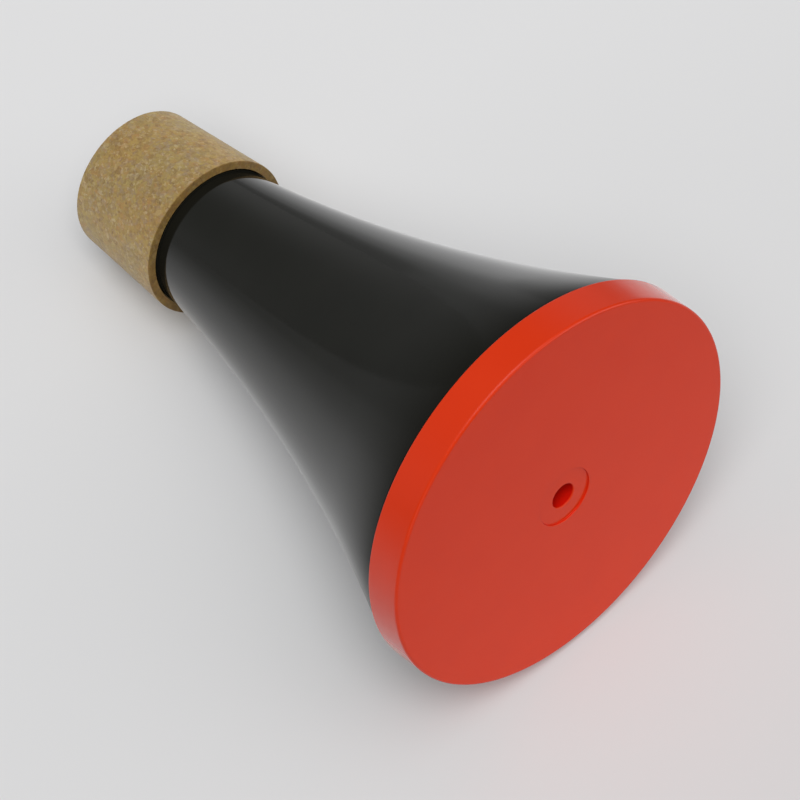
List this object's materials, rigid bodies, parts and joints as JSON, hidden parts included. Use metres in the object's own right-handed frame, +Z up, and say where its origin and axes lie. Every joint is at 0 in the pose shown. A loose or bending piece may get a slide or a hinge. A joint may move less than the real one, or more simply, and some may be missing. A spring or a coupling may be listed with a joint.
{
  "type": "practice mute",
  "caption": "Flared practice mute for a brass instrument: tapered cork sleeve round an open neck, black moulded shell, and a flat red end cap with a central vent.",
  "frame": {"origin": "on the table, under the middle of the mute's box, with the mute lying on its side", "axes": "+Z up from the table; +X towards the wide, capped end, so the mute's own axis runs from the neck at -X to the cap at +X and rises 12 degrees; +Y across"},
  "size_m": [0.1654, 0.1006, 0.1],
  "materials": {
    "cap_plastic": "moulded, satin, orange-red",
    "shell_plastic": "moulded, glossy, black",
    "tube_plastic": "moulded, satin, black",
    "cork": "agglomerated cork, sanded",
    "felt": "pressed wool felt, dark grey"
  },
  "bodies": {
    "root": {"end_cap": "cap_plastic", "body_shell": "shell_plastic", "cork_sleeve": "cork", "vent_tube": "tube_plastic", "felt_disc": "felt"}
  },
  "joints": []
}
